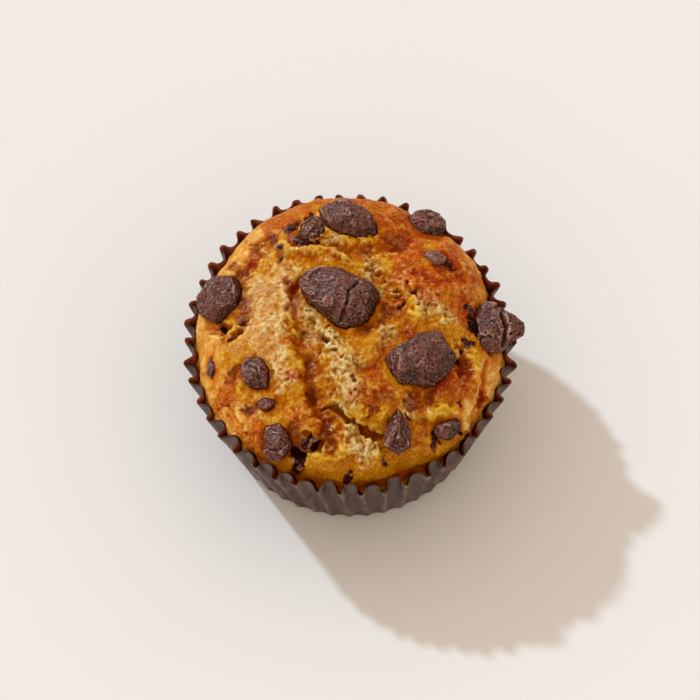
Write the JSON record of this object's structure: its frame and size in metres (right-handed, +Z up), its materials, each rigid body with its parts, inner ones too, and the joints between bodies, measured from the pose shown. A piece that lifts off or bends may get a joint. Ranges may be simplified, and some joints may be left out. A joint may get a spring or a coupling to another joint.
{
  "type": "chocolate chunk muffin in a paper liner",
  "caption": "Round domed banana muffin with dark chocolate pieces in its top, sitting in a dark brown fluted paper liner; stands on its flat base.",
  "frame": {"origin": "middle of the underside of the paper liner, on the table", "axes": "+Z up out of the muffin's top; -Y the side with the crack in the dome; +X to the right of it, where a piece of chocolate reaches over the rim"},
  "size_m": [0.0766, 0.0748, 0.0446],
  "materials": {
    "baked_crumb": "satin",
    "liner_paper": "satin",
    "dark_chocolate": "satin"
  },
  "bodies": {
    "root": {"muffin_crumb": "baked_crumb", "paper_liner": "liner_paper", "chunk_centre": "dark_chocolate", "chunk_right": "dark_chocolate", "chunk_back": "dark_chocolate", "chunk_left": "dark_chocolate", "chunk_rim_right": "dark_chocolate", "chunk_back_right": "dark_chocolate", "chunk_crumbled": "dark_chocolate", "chunk_left_small": "dark_chocolate", "chunk_front_left": "dark_chocolate", "chunk_front": "dark_chocolate", "chip_front_right": "dark_chocolate", "chip_button": "dark_chocolate", "chip_left": "dark_chocolate", "chip_far_left": "dark_chocolate"}
  },
  "joints": []
}
